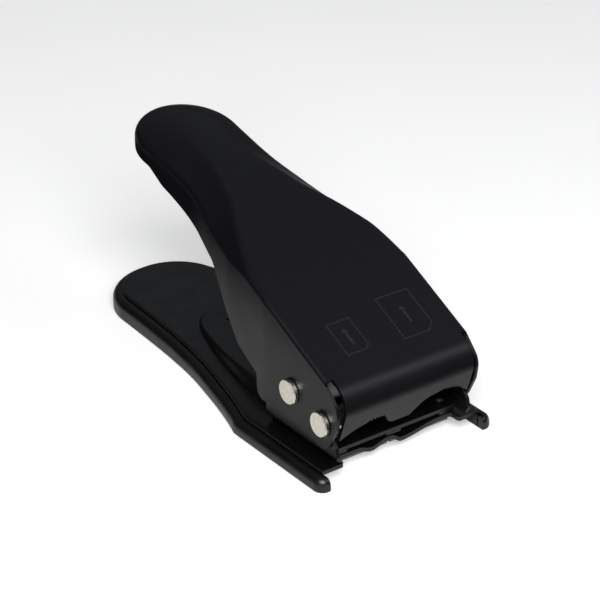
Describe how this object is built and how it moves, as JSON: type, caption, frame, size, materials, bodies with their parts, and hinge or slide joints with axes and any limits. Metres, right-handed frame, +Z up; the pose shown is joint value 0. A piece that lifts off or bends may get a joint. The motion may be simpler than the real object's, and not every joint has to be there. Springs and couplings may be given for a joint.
{
  "type": "sim card cutter",
  "caption": "Hand lever cutter that presses a punch through a card slot to trim a phone card to a smaller size.",
  "frame": {"origin": "middle of the bounding box, on the surface that it stands on", "axes": "+Y from the card slots towards the end of the grip, +Z up, +X to the right as the card slots are faced"},
  "size_m": [0.0684, 0.1502, 0.0735],
  "materials": {
    "moulded_black": "black moulded plastic, semi gloss",
    "coated_base": "black coated steel, semi gloss",
    "coated_lever": "black coated steel, satin",
    "ground_steel": "ground tool steel",
    "blackened_steel": "black oxide on machined steel",
    "bright_steel": "nickel plated steel"
  },
  "bodies": {
    "base": {"foot_frame": "moulded_black", "base_plate": "coated_base", "punch_frame": "coated_base", "card_guide": "coated_base", "nano_die": "ground_steel", "micro_die": "ground_steel", "frame_screw_front_left": "blackened_steel", "frame_screw_front_right": "blackened_steel", "frame_screw_rear_left": "blackened_steel", "frame_screw_rear_right": "blackened_steel", "spring_post_left": "bright_steel", "spring_post_right": "bright_steel", "return_spring_left": "bright_steel", "return_spring_right": "bright_steel"},
    "lever": {"lever_shell": "coated_lever", "pivot_pin": "bright_steel", "drive_pin": "bright_steel", "pivot_sleeve": "bright_steel", "drive_spacer_left": "bright_steel", "drive_spacer_right": "bright_steel"},
    "press": {"punch_holder": "ground_steel", "nano_punch": "ground_steel", "micro_punch": "ground_steel", "nano_punch_dowel": "bright_steel", "micro_punch_dowel": "bright_steel"}
  },
  "joints": [
    {"name": "lever_hinge", "type": "hinge", "parent": "base", "child": "lever", "pos_m": [0, -0.0668, 0.0191], "axis": [-1, 0, 0], "range_deg": [0, 11], "stiffness_Nm_per_rad": 1.2, "springref_deg": -11.46},
    {"name": "press_slide", "type": "slide", "parent": "base", "child": "press", "axis": [0, 0, -1], "range_m": [0, 0.0031], "deforming": ["return_spring_left", "return_spring_right"]}
  ],
  "couplings": [
    {"joint": "press_slide", "follows": "lever_hinge", "m_per_rad": 0.01608}
  ]
}
